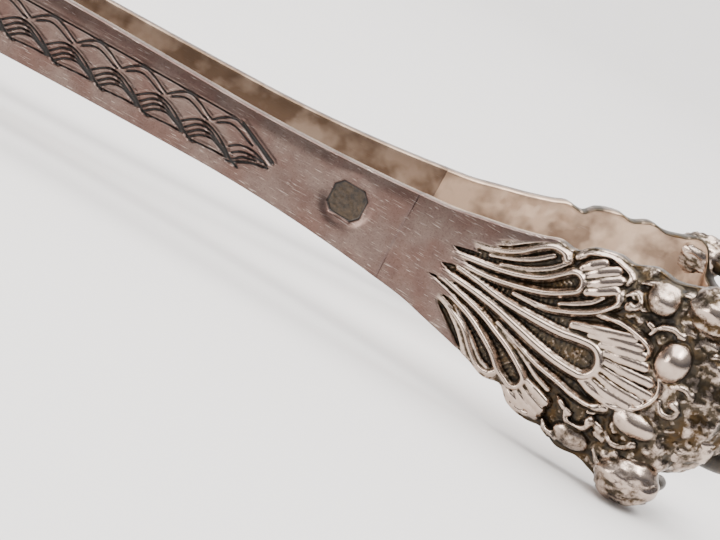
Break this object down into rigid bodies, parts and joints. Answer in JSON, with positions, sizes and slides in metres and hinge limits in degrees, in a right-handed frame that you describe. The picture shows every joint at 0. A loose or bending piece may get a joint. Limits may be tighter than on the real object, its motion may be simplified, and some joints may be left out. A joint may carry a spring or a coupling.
{
  "type": "ice tongs",
  "caption": "One-piece sprung silver tongs with a slim U-shaped strip and a cast lion-paw claw on each arm, for lifting ice or sugar lumps.",
  "frame": {"origin": "centre of the whole length and width, at the lowest side toe, with the tongs lying on their side", "axes": "+X from the bow towards the claw tips, Y across the opening between the arms, +Z along the height of the strip"},
  "size_m": [0.15, 0.0388, 0.0208],
  "materials": {
    "silver_strip": "rolled and hand-polished silver, worn to a satin with fine scratches and warm tarnish",
    "cast_silver": "cast and chased silver, burnished on the high spots, dark tarnish in the hollows",
    "silver_solder": "hard silver solder, slightly greyer than the strip"
  },
  "bodies": {
    "bow": {"spring_bow": "silver_strip"},
    "front": {"front_arm": "silver_strip", "front_solder_seam": "silver_solder", "front_claw": "cast_silver"},
    "rear": {"rear_arm": "silver_strip", "rear_solder_seam": "silver_solder", "rear_claw": "cast_silver"}
  },
  "joints": [
    {"name": "front_squeeze", "type": "hinge", "parent": "bow", "child": "front", "pos_m": [-0.07184, -0.00384, 0.0104], "axis": [0, 0, 1], "range_deg": [-1.5, 3.9], "stiffness_Nm_per_rad": 5, "deforming": ["spring_bow"]},
    {"name": "rear_squeeze", "type": "hinge", "parent": "bow", "child": "rear", "pos_m": [-0.07184, 0.00384, 0.0104], "axis": [0, 0, 1], "range_deg": [-3.9, 1.5], "stiffness_Nm_per_rad": 5}
  ],
  "couplings": [
    {"joint": "rear_squeeze", "follows": "front_squeeze", "ratio": -1}
  ]
}
